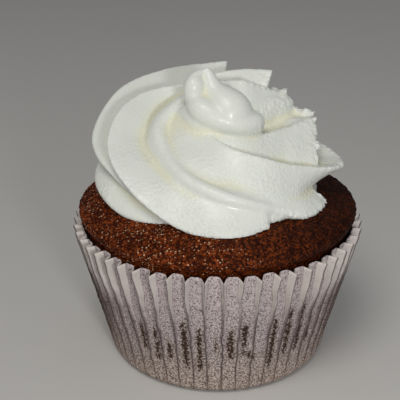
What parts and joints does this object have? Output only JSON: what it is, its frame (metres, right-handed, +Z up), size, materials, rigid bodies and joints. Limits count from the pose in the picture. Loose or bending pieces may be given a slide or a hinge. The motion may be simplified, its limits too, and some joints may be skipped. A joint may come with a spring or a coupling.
{
  "type": "cupcake",
  "caption": "Domed brown sponge cupcake in a pleated pale paper case, topped with a piped swirl of cream.",
  "frame": {"origin": "middle of the flat underside of the paper case", "axes": "+Z up through the crown of the cake, -Y towards the front, where the open end of the swirl lies to the right"},
  "size_m": [0.0662, 0.0662, 0.0666],
  "materials": {
    "paper": "matt, speckled, stained darker by the cake low down",
    "sponge": "moist open crumb",
    "cream": "satin, smooth with fine drag marks"
  },
  "bodies": {
    "root": {"paper_case": "paper", "cake": "sponge", "cream_swirl": "cream"}
  },
  "joints": []
}
